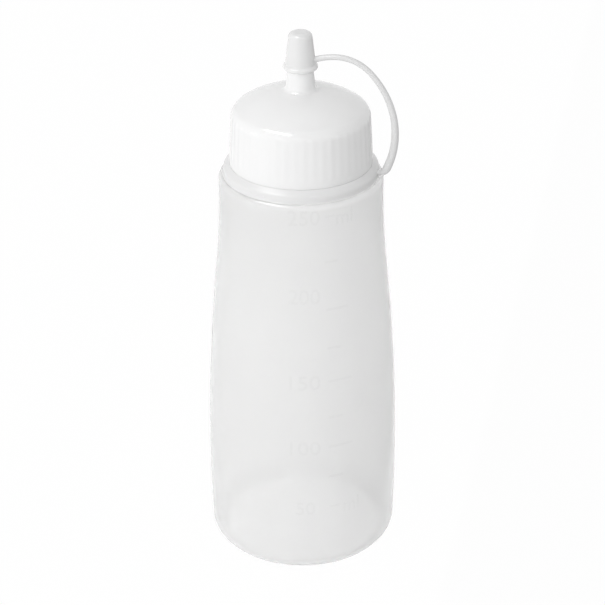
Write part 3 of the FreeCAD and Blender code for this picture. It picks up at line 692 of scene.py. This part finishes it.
@dataclass
class NozzleCap:
    """The screwed cap: ribbed skirt, rolled crown, dome and tapered nozzle."""

    bottle: Bottle
    skirt_gap: float = 3.1
    skirt_draft: float = 3.3
    skirt_wall: float = 1.3
    thread_gap: float = 1.3
    crown_corner: float = 4.0
    dome_curve: float = 33.3
    dome_rise: float = 8.95
    dome_wall: float = 1.4
    seat_width: float = 2.0
    nozzle_rise: float = 24.7
    nozzle_tip_radius: float = 2.45
    nozzle_draft: float = 6.8
    nozzle_wall: float = 0.95
    nozzle_fillet: float = 1.6
    lip_corner: float = 0.35
    lip_ease: float = 0.05
    rib_count: int = 48
    rib_width: float = 1.3
    rib_soft: float = 0.9
    rib_steps: int = 10
    rib_relief: float = 0.055
    rib_foot: float = 2.4
    rib_wrap: float = 16.0
    rib_fade: float = 12.0
    finish: MouldedPlastic = MouldedPlastic(
        "cap_plastic",
        pale=grey(0.885),
        deep=grey(0.877),
        gloss_low=0.12,
        gloss_high=0.17,
        shine=0.5,
        scatter=0.6,
        scatter_depth=0.001,
    )

    @property
    def crown_radius(self) -> float:
        """The skirt's radius at the crown."""
        return self.bottle.neck_radius + self.thread_gap + self.skirt_wall

    @property
    def skirt_low(self) -> float:
        """The height of the skirt's foot."""
        return self.bottle.shoulder_height + self.skirt_gap

    @property
    def foot_radius(self) -> float:
        """The skirt's outer radius at its foot, where its draft brings it.

        Returns:
            The radius, before the lip's corner is rounded.
        """
        lean = math.radians(self.skirt_draft)
        touch = self.crown_centre[1] + self.crown_corner * math.sin(lean)
        out = self.crown_centre[0] + self.crown_corner * math.cos(lean)
        return out + (touch - self.skirt_low) * math.tan(lean)

    @property
    def nozzle_top(self) -> float:
        """The height of the nozzle's tip."""
        return self.bottle.neck_top + self.nozzle_rise

    @property
    def dome_centre(self) -> Pair:
        """The centre of the dome's arc."""
        return (0.0, self.bottle.neck_top + self.dome_rise - self.dome_curve)

    @property
    def crown_centre(self) -> Pair:
        """The centre of the arc that rolls the dome over into the skirt.

        Returns:
            The centre as (radius, height): its arc touches the dome's arc from inside.
        """
        across = self.crown_radius - self.crown_corner
        reach = self.dome_curve - self.crown_corner
        return (across, self.dome_centre[1] + math.sqrt(reach**2 - across**2))

    def nozzle_radius(self, height: float) -> float:
        """The nozzle's outer radius at a height."""
        return self.nozzle_tip_radius + (self.nozzle_top - height) * math.tan(
            math.radians(self.nozzle_draft)
        )

    def cone_on_sphere(self, radius: float, reach: float) -> Pair:
        """Where a cone of the nozzle's draft meets a sphere about the dome's centre.

        The drop below the tip solves
        (radius + slope * drop)^2 + (rise - drop)^2 = reach^2.

        Args:
            radius: The cone's radius at the nozzle's tip.
            reach: The sphere's radius.

        Returns:
            The meeting point as (radius, height).
        """
        slope = math.tan(math.radians(self.nozzle_draft))
        rise = self.nozzle_top - self.dome_centre[1]
        square = slope**2 + 1.0
        single = 2.0 * (radius * slope - rise)
        fixed = radius**2 + rise**2 - reach**2
        drop = (-single - math.sqrt(single * single - 4.0 * square * fixed)) / (2.0 * square)
        return (radius + slope * drop, self.nozzle_top - drop)

    def outside(self) -> np.ndarray:
        """The outer profile, from the skirt's foot up to the nozzle's tip.

        Lip, skirt, crown, dome, fillet and nozzle run into each other as tangents.

        Returns:
            Rows of (radius, height).
        """
        crown, dome = self.crown_centre, self.dome_centre
        lean = self.skirt_draft
        top = arc_points(crown, self.crown_corner, lean, lean, steps=1)[0]
        foot = self.foot_radius
        corner = self.lip_corner
        lip = (foot - corner, self.skirt_low + corner)
        draft = math.radians(self.nozzle_draft)
        offset = self.nozzle_tip_radius + self.nozzle_fillet / math.cos(draft)
        fillet = self.cone_on_sphere(offset, self.dome_curve + self.nozzle_fillet)
        tip = (self.nozzle_tip_radius, self.nozzle_top)
        touch = direction(dome, fillet)
        side_turn = 180.0 + self.nozzle_draft
        inner = self.crown_radius - self.skirt_wall
        return chain(
            line_points((inner, self.skirt_low), (lip[0], self.skirt_low), steps=2),
            arc_points(lip, corner, -90.0, lean, steps=6),
            line_points((foot - self.lip_ease, lip[1] + self.lip_ease), tuple(top), steps=22)[1:],
            arc_points(crown, self.crown_corner, lean, direction(dome, crown), steps=22),
            arc_points(dome, self.dome_curve, direction(dome, crown), touch, steps=22),
            arc_points(fillet, self.nozzle_fillet, 180.0 + touch, side_turn, steps=10),
            line_points(self.side_point(fillet), tip, steps=10),
        )

    def side_point(self, fillet: Pair) -> Pair:
        """Where the nozzle's fillet runs on to its side.

        Args:
            fillet: The fillet's centre.

        Returns:
            The touching point as (radius, height).
        """
        turn = math.radians(180.0 + self.nozzle_draft)
        return (
            fillet[0] + self.nozzle_fillet * math.cos(turn),
            fillet[1] + self.nozzle_fillet * math.sin(turn),
        )

    def inside(self) -> np.ndarray:
        """The inner profile, from the nozzle's mouth down to the skirt's foot.

        Returns:
            Rows of (radius, height).
        """
        dome = self.dome_centre
        under = self.dome_curve - self.dome_wall
        outlet = self.nozzle_tip_radius - self.nozzle_wall
        root = self.cone_on_sphere(outlet, under)
        seat = self.bottle.neck_radius - self.seat_width
        bore = self.crown_radius - self.skirt_wall
        meet = (seat, dome[1] + math.sqrt(under**2 - seat**2))
        return chain(
            line_points((outlet, self.nozzle_top), root, steps=6),
            arc_points(dome, under, direction(dome, root), direction(dome, meet), steps=10),
            line_points(meet, (seat, self.bottle.neck_top), steps=2),
            line_points((seat, self.bottle.neck_top), (bore, self.bottle.neck_top), steps=2),
            line_points((bore, self.bottle.neck_top), (bore, self.skirt_low), steps=4),
        )

    def rib_lift(self, profile: np.ndarray, turn: np.ndarray) -> np.ndarray:
        """How far the ribs stand off the outer profile.

        Across a rib the lift is a low crest whose sides ease down as a smooth step.
        Along it the lift starts above the lip and fades out over the crown.

        Args:
            profile: The outer profile's rows.
            turn: The angles in radians.

        Returns:
            Lifts in millimetres, rows x columns.
        """
        pitch = 2.0 * math.pi / self.rib_count
        off = np.abs((turn / pitch + 0.5) % 1.0 - 0.5) * pitch * self.crown_radius
        across = smooth_step((self.rib_width / 2.0 - off) / self.rib_soft + 0.5)
        start = (profile[:, 1] - self.skirt_low - self.rib_foot) / self.rib_soft + 0.5
        crown = self.crown_centre
        roll = np.degrees(np.arctan2(profile[:, 1] - crown[1], profile[:, 0] - crown[0]))
        roll = np.where(profile[:, 1] < crown[1], 0.0, roll)
        fade = (self.rib_wrap + self.rib_fade - roll) / self.rib_fade
        return self.rib_relief * (smooth_step(start) * smooth_step(fade))[:, None] * across

    def build(self) -> None:
        """Make the cap as one closed shell, ribs raised along the outer profile."""
        outside, inside = self.outside(), self.inside()
        turn = full_turn(self.rib_count * self.rib_steps)
        along = np.gradient(outside, axis=0)
        along /= np.linalg.norm(along, axis=1, keepdims=True)
        normal = np.stack([along[:, 1], -along[:, 0]], 1)
        lift = self.rib_lift(outside, turn)
        radius = outside[:, :1] + normal[:, :1] * lift
        height = outside[:, 1:] + normal[:, 1:] * lift
        ribbed = np.stack([radius * np.cos(turn), radius * np.sin(turn), height], -1)
        points = np.concatenate([ribbed, lathe(inside, turn)])
        shell = grid_mesh("cap_shell", points, wrap_rows=True)
        cap = add_piece(shell, self.finish.material())
        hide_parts("nozzle_cap")


# ---------------- the tether


@dataclass
class Tether:
    """The moulded tether: a thimble on the nozzle, a strap, and a ring on the shoulder."""

    cap: NozzleCap
    thimble_reach: float = 10.0
    thimble_gap: float = 0.2
    thimble_wall: float = 0.72
    thimble_top_wall: float = 0.95
    thimble_corner: float = 1.5
    bead_radius: float = 0.8
    bead_reach: float = 0.4
    bead_fillet: float = 0.6
    ring_gap: float = 0.8
    ring_width: float = 4.3
    ring_thickness: float = 2.6
    ring_round: float = 1.4
    ring_edge: float = 0.12
    ring_seat: float = 0.5
    ring_slack: float = 0.03
    ring_lean: float = 25.0
    strap_root_rise: float = 2.95
    strap_root_curve: float = 18.7
    strap_crest_rise: float = 1.3
    strap_crest_curve: float = 12.96
    strap_bulge: float = 4.85
    strap_bulge_rise: float = 13.4
    strap_foot_curve: float = 2.5
    strap_radii: tuple[float, ...] = (0.85, 0.8, 0.8, 1.2, 0.75, 0.75)
    thimble_columns: int = 96
    strap_columns: int = 48
    ring_columns: int = 192
    finish: MouldedPlastic = MouldedPlastic(
        "tether_plastic",
        pale=grey(0.81),
        deep=grey(0.8),
        gloss_low=0.12,
        gloss_high=0.17,
        shine=0.5,
        scatter=0.5,
        scatter_depth=0.001,
    )
    # The strap's copy of the tether plastic is darker and duller: painted shade for the thin strap,
    # which looks darker than the thimble in this light.
    strap_shaded_finish: MouldedPlastic = MouldedPlastic(
        "tether_strap_painted_shade",
        pale=grey(0.76),
        deep=grey(0.74),
        gloss_low=0.2,
        gloss_high=0.3,
    )
    # The ring's copy of the tether plastic is a little darker and duller: painted shade.
    ring_shaded_finish: MouldedPlastic = MouldedPlastic(
        "tether_ring_painted_shade",
        pale=grey(0.79),
        deep=grey(0.78),
        gloss_low=0.2,
        gloss_high=0.3,
    )

    @property
    def lip(self) -> float:
        """The height of the thimble's open lip."""
        return self.cap.nozzle_top - self.thimble_reach

    @property
    def ring_bore(self) -> float:
        """The ring's inner radius."""
        return self.cap.bottle.neck_radius + self.ring_gap

    @property
    def ring_radius(self) -> float:
        """The ring's outer radius."""
        return self.ring_bore + self.ring_width

    def side(self, height: float, wall: float) -> float:
        """The thimble's radius at a height, outside a wall, or inside it for wall 0."""
        return self.cap.nozzle_radius(height) + self.thimble_gap + wall

    def fillet_centre(self, bead: Pair) -> Pair:
        """Centre the fillet that runs from the bead into the thimble's side.

        It lies the fillet's radius off the side's line, and the sum of both radii
        from the bead's centre.

        Args:
            bead: The bead's centre as (radius, height).

        Returns:
            The fillet's centre as (radius, height).
        """
        draft = math.radians(self.cap.nozzle_draft)
        sunk = (bead[0] - self.side(bead[1], self.thimble_wall)) * math.cos(draft)
        off = self.bead_fillet - sunk
        along = math.sqrt((self.bead_radius + self.bead_fillet) ** 2 - off**2)
        return (
            bead[0] + off * math.cos(draft) - along * math.sin(draft),
            bead[1] + off * math.sin(draft) + along * math.cos(draft),
        )

    def thimble(self) -> np.ndarray:
        """The thimble's closed profile: bead, side, corner, top, and back down inside.

        Returns:
            Rows of (radius, height).
        """
        draft = self.cap.nozzle_draft
        lean = math.radians(draft)
        top = self.cap.nozzle_top + self.thimble_top_wall
        height = top - self.thimble_corner
        across = self.side(height, self.thimble_wall) - self.thimble_corner / math.cos(lean)
        centre = (across, height)
        bead_across = self.side(self.lip, self.thimble_wall) + self.bead_reach - self.bead_radius
        bead = (bead_across, self.lip + self.bead_radius)
        fillet = self.fillet_centre(bead)
        touch = direction(bead, fillet)
        foot = (
            fillet[0] - self.bead_fillet * math.cos(lean),
            fillet[1] - self.bead_fillet * math.sin(lean),
        )
        inner = self.side(self.lip, 0.0)
        roof = self.cap.nozzle_top
        shoulder = (
            centre[0] + self.thimble_corner * math.cos(lean),
            centre[1] + self.thimble_corner * math.sin(lean),
        )
        return chain(
            line_points((inner, self.lip), (bead[0], self.lip), steps=2),
            arc_points(bead, self.bead_radius, -90.0, touch, steps=18),
            arc_points(fillet, self.bead_fillet, touch + 180.0, draft + 180.0, steps=8),
            line_points(foot, shoulder, steps=14),
            arc_points(centre, self.thimble_corner, draft, 90.0, steps=12),
            line_points((centre[0], top), (0.0, top), steps=5),
            line_points((0.0, roof), (self.side(roof, 0.0), roof), steps=4),
            line_points((self.side(roof, 0.0), roof), (inner, self.lip), steps=6),
        )

    def ring(self) -> np.ndarray:
        """The ring's closed section, seated on the shoulder and up against the skirt.

        Underneath it is flat, and a hollow rounding, tangent to its side and to the
        shoulder's corner, seats its foot. Its top slopes out from the skirt's lip,
        which it hugs, and touches the rounding at the ring's outside.

        Returns:
            Rows of (radius, height).
        """
        bottle = self.cap.bottle
        low = bottle.shoulder_height
        corner = (bottle.shoulder_radius - bottle.shoulder_corner, low - bottle.shoulder_corner)
        bed = bottle.shoulder_corner + self.ring_slack
        seat_across = self.ring_radius + self.ring_seat
        seat_reach = bed + self.ring_seat
        seat_rise = math.sqrt(seat_reach**2 - (seat_across - corner[0]) ** 2)
        seat = (seat_across, corner[1] + seat_rise)
        centre = (self.ring_radius - self.ring_round, low + self.ring_thickness - self.ring_round)
        hug = self.cap.lip_corner + self.ring_slack
        lip = (self.cap.foot_radius - self.cap.lip_corner, self.cap.skirt_low + self.cap.lip_corner)
        lean = math.radians(self.ring_lean)
        crest = (lip[0] + hug * math.cos(lean), lip[1] - hug * math.sin(lean))
        away = math.hypot(crest[0] - centre[0], crest[1] - centre[1])
        touch = direction(centre, crest) - math.degrees(math.acos(self.ring_round / away))
        bend = (self.ring_bore + self.ring_edge, lip[1] - hug - self.ring_edge)
        return chain(
            line_points((self.ring_bore, corner[1] + bed), (corner[0], corner[1] + bed), steps=3),
            arc_points(corner, bed, 90.0, direction(corner, seat), steps=6),
            arc_points(seat, self.ring_seat, direction(seat, corner) + 360.0, 180.0, steps=8),
            arc_points(centre, self.ring_round, 0.0, touch, steps=16),
            arc_points(lip, hug, -self.ring_lean, -90.0, steps=6),
            arc_points(bend, self.ring_edge, 90.0, 180.0, steps=4),
        )

    def strap(self) -> tuple[np.ndarray, np.ndarray]:
        """The strap's centre line and its radius along it.

        Four tangent arcs and a short run: up from the thimble to the level crest,
        over to the side, down its long bulge, and round the heel on to the ring.

        Returns:
            Rows of (x, z), and the strap's radius at each row.
        """
        height = self.lip + self.strap_root_rise
        start = (self.side(height, self.thimble_wall / 2.0), height)
        rise = self.strap_root_curve - self.strap_crest_rise
        across = start[0] + math.sqrt(self.strap_root_curve**2 - rise**2)
        root = (across, height - rise)
        crest = (across, height + self.strap_crest_rise - self.strap_crest_curve)
        low = self.cap.bottle.shoulder_height
        out = self.ring_radius + self.strap_bulge - across
        level = low + self.strap_bulge_rise
        down = crest[1] - level
        bend = self.strap_crest_curve
        curve = (out**2 + down**2 - bend**2) / (2.0 * (out - bend))
        side = (across + out - curve, level)
        heel_height = low + self.ring_thickness / 2.0 + self.strap_foot_curve
        reach = curve - self.strap_foot_curve
        heel = (side[0] + math.sqrt(reach**2 - (level - heel_height) ** 2), heel_height)
        turn = direction(side, crest)
        heel_turn = direction(side, heel)
        anchor = ((self.ring_bore + self.ring_radius) / 2.0, low + self.ring_thickness / 2.0)
        spans = (
            arc_points(root, self.strap_root_curve, direction(root, start), 90.0, steps=14),
            arc_points(crest, bend, 90.0, turn, steps=26),
            arc_points(side, curve, turn, heel_turn, steps=44),
            arc_points(heel, self.strap_foot_curve, heel_turn, -90.0, steps=14),
            line_points((heel[0], anchor[1]), anchor, steps=6),
        )
        radii = [
            np.linspace(first, last, len(span))
            for span, first, last in zip(spans, self.strap_radii[:-1], self.strap_radii[1:])
        ]
        keep = [np.arange(len(span)) > (0 if index else -1) for index, span in enumerate(spans)]
        line = np.concatenate([span[held] for span, held in zip(spans, keep)])
        return line, np.concatenate([radius[held] for radius, held in zip(radii, keep)])

    def strap_points(self) -> np.ndarray:
        """Carry a circle along the strap's line: p + r * (cos a * n + sin a * y).

        Returns:
            A grid of rows x columns x 3, closed to a point at both ends.
        """
        line, radius = self.strap()
        radius = np.concatenate([[0.0], radius, [0.0]])
        line = np.concatenate([line[:1], line, line[-1:]])
        along = np.gradient(line[1:-1], axis=0)
        along = np.concatenate([along[:1], along, along[-1:]])
        along /= np.linalg.norm(along, axis=1, keepdims=True)
        turn = full_turn(self.strap_columns)
        out = radius[:, None] * np.cos(turn)
        wide = radius[:, None] * np.sin(turn)
        return np.stack(
            [line[:, :1] - along[:, 1:] * out, wide, line[:, 1:] + along[:, :1] * out], -1
        )

    def build(self) -> None:
        """Make the thimble, the thin strap and the ring; the strap and the ring take darker copies
        of the thimble's plastic, as painted shade.
        """
        around = full_turn(self.thimble_columns)
        thimble = grid_mesh("thimble", lathe(self.thimble(), around), wrap_rows=True)
        strap = grid_mesh("strap", self.strap_points())
        around = full_turn(self.ring_columns)
        ring = grid_mesh("ring", lathe(self.ring(), around), wrap_rows=True)
        piece = add_piece(thimble, self.finish.material())
        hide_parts("tether_cap")
        add_piece(strap, self.strap_shaded_finish.material())
        add_piece(ring, self.ring_shaded_finish.material())


# ---------------- the studio


@dataclass(frozen=True)
class Softbox:
    """One soft light: where it hangs, its width and height in metres, and its watts.

    A mirrored softbox only shows as a highlight in glossy surfaces, and the other
    kind only lights.
    """

    name: str
    azimuth: float
    elevation: float
    distance: float
    size: Pair
    power: float
    mirrored: bool


def sheet(name: str, near: Pair, far: Pair, height: float) -> bpy.types.Mesh:
    """Make a level sheet, in metres.

    Args:
        name: The mesh's name.
        near: One corner as (x, y).
        far: The corner opposite.
        height: The sheet's height.

    Returns:
        The mesh.
    """
    corners = [
        (near[0], near[1], height),
        (far[0], near[1], height),
        (far[0], far[1], height),
        (near[0], far[1], height),
    ]
    mesh = bpy.data.meshes.new(name)
    mesh.from_pydata(corners, [], [(0, 1, 2, 3)])
    return mesh


def matt_paper(name: str, tone: float) -> bpy.types.Material:
    """Make a dull paper of one grey.

    Args:
        name: The material's name.
        tone: The grey, from 0 to 1.

    Returns:
        The material.
    """
    material = bpy.data.materials.new(name)
    material.use_nodes = True
    paper = material.node_tree.nodes["Principled BSDF"]
    paper.inputs["Base Color"].default_value = (*grey(tone), 1.0)
    paper.inputs["Roughness"].default_value = PAPER_ROUGHNESS
    paper.inputs["Specular IOR Level"].default_value = 0.0
    return material


@dataclass
class Studio:
    """A pale floor, a soft sky, two softboxes, a grey card and the camera, in metres.

    Angles are in degrees. The sky's level is what lights the object, while rays that
    show the background find it white.
    """

    azimuth: float = 13.0
    elevation: float = 29.06
    distance: float = 0.5505
    target_height: float = 0.07904
    aim_right: float = 0.000187
    roll: float = -0.336
    lens: float = 108.9
    sensor: float = 36.0
    clip: Pair = (0.01, 20.0)
    sky: float = 0.7
    softboxes: tuple[Softbox, ...] = (
        Softbox("broad", -28.0, 26.0, distance=1.3, size=(1.1, 0.7), power=6.3, mirrored=False),
        Softbox("strip", -40.0, 57.0, distance=1.1, size=(0.72, 0.15), power=8.0, mirrored=True),
    )
    floor_reach: float = 6.0
    floor_tone: float = 0.9
    floor_white: float = 0.985
    flag_tone: float = 0.62
    flag_width: float = 0.5
    flag_front: float = 0.2
    flag_back: float = 0.6
    flag_gap: float = 0.02
    flag_height: float = 0.001

    @staticmethod
    def toward(azimuth: float, elevation: float) -> Vector:
        """The unit direction out from the object to an azimuth and elevation in degrees."""
        turn, tilt = math.radians(azimuth), math.radians(elevation)
        level = math.cos(tilt)
        return Vector((math.sin(turn) * level, -math.cos(turn) * level, math.sin(tilt)))

    def camera(self) -> None:
        """Set the camera on its line to the bottle's axis and roll it level."""
        data = bpy.data.cameras.new("camera")
        data.sensor_width = self.sensor
        data.lens = self.lens
        data.clip_start, data.clip_end = self.clip
        out = self.toward(self.azimuth, self.elevation)
        look = (-out).to_track_quat("-Z", "Y")
        right = look @ Vector((1.0, 0.0, 0.0))
        camera = new_object("camera", data)
        camera.location = Vector((0.0, 0.0, self.target_height)) + out * self.distance
        camera.location += right * self.aim_right
        camera.rotation_mode = "QUATERNION"
        turn = Quaternion((0.0, 0.0, 1.0), math.radians(self.roll))
        camera.rotation_quaternion = look @ turn
        bpy.context.scene.camera = camera

    def lights(self) -> None:
        """Hang the softboxes, each turned to face the bottle."""
        for box in self.softboxes:
            data = bpy.data.lights.new(box.name, "AREA")
            data.shape = "ELLIPSE"
            data.size, data.size_y = box.size
            data.energy = box.power
            lamp = new_object(box.name, data)
            out = self.toward(box.azimuth, box.elevation)
            lamp.location = Vector((0.0, 0.0, self.target_height)) + out * box.distance
            lamp.rotation_mode = "QUATERNION"
            lamp.rotation_quaternion = out.to_track_quat("Z", "Y")
            lamp.visible_glossy = box.mirrored
            lamp.visible_diffuse = not box.mirrored

    @staticmethod
    def seen(nodes: bpy.types.Nodes, links: bpy.types.NodeLinks) -> bpy.types.NodeSocket:
        """Tell the rays that show the background from those that light the object.

        Args:
            nodes: The material's or the world's nodes.
            links: Their links.

        Returns:
            A socket: 1 for camera, glossy and transmission rays, 0 for the rest.
        """
        path = nodes.new("ShaderNodeLightPath")
        shown = path.outputs["Is Camera Ray"]
        for ray in ("Is Glossy Ray", "Is Transmission Ray"):
            either = nodes.new("ShaderNodeMath")
            either.operation = "MAXIMUM"
            links.new(shown, either.inputs[0])
            links.new(path.outputs[ray], either.inputs[1])
            shown = either.outputs[0]
        return shown

    def world(self) -> None:
        """White where it is seen, and a plain soft sky for light."""
        world = bpy.data.worlds.new("sky")
        bpy.context.scene.world = world
        world.use_nodes = True
        nodes, links = world.node_tree.nodes, world.node_tree.links
        sky = nodes["Background"]
        sky.inputs["Color"].default_value = (1.0, 1.0, 1.0, 1.0)
        level = nodes.new("ShaderNodeMapRange")
        level.inputs["To Min"].default_value = self.sky
        level.inputs["To Max"].default_value = 1.0
        links.new(self.seen(nodes, links), level.inputs["Value"])
        links.new(level.outputs["Result"], sky.inputs["Strength"])

    def floor(self) -> None:
        """Lay a pale floor that keeps a faint part of the object's shadow."""
        reach = self.floor_reach
        mesh = sheet("floor", (-reach, -reach), (reach, reach), 0.0)
        floor = new_object("floor", mesh)
        material = matt_paper("floor_paper", self.floor_tone)
        nodes, links = material.node_tree.nodes, material.node_tree.links
        paper = nodes["Principled BSDF"]
        glow = nodes.new("ShaderNodeEmission")
        share = nodes.new("ShaderNodeMath")
        share.operation = "MULTIPLY"
        share.inputs[1].default_value = self.floor_white
        links.new(self.seen(nodes, links), share.inputs[0])
        mix = nodes.new("ShaderNodeMixShader")
        links.new(share.outputs[0], mix.inputs["Fac"])
        links.new(paper.outputs["BSDF"], mix.inputs[1])
        links.new(glow.outputs["Emission"], mix.inputs[2])
        links.new(mix.outputs["Shader"], nodes["Material Output"].inputs["Surface"])
        mesh.materials.append(material)
        floor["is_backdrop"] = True

    def flag(self) -> None:
        """Lay a grey card beside the bottle that only its surfaces see.

        It lies from just outside the base to the right and back of the camera's view,
        and gives that side the deeper tone of a room's unlit side.
        """
        _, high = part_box("bottle")
        near = high[0] + self.flag_gap
        corner = (near + self.flag_width, self.flag_back)
        mesh = sheet("flag", (near, -self.flag_front), corner, self.flag_height)
        flag = new_object("flag", mesh)
        mesh.materials.append(matt_paper("flag_card", self.flag_tone))
        flag.visible_camera = False
        flag.visible_shadow = False
        flag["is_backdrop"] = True

    def build(self) -> None:
        """Set the whole studio."""
        bpy.context.scene.view_settings.view_transform = "Standard"
        self.camera()
        self.lights()
        self.world()
        self.floor()
        self.flag()


def write_sizes() -> None:
    """Gather the CAD box and the dressed object's box as plain lists, which are not stored
    anywhere.
    """
    boxes = {"cad": CAD_BOX, "visual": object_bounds()}
    boxes = {name: [list(corner) for corner in box] for name, box in boxes.items()}


def main() -> None:
    """Build the bottle, the cap, the tether and the studio, in that order."""
    logging.basicConfig(level=logging.INFO, format="%(name)s: %(message)s")
    bottle = Bottle()
    bottle.build()
    Graduations(bottle).build()
    cap = NozzleCap(bottle)
    cap.build()
    Tether(cap).build()
    Studio().build()
    write_sizes()


if __name__ == "__main__":
    main()
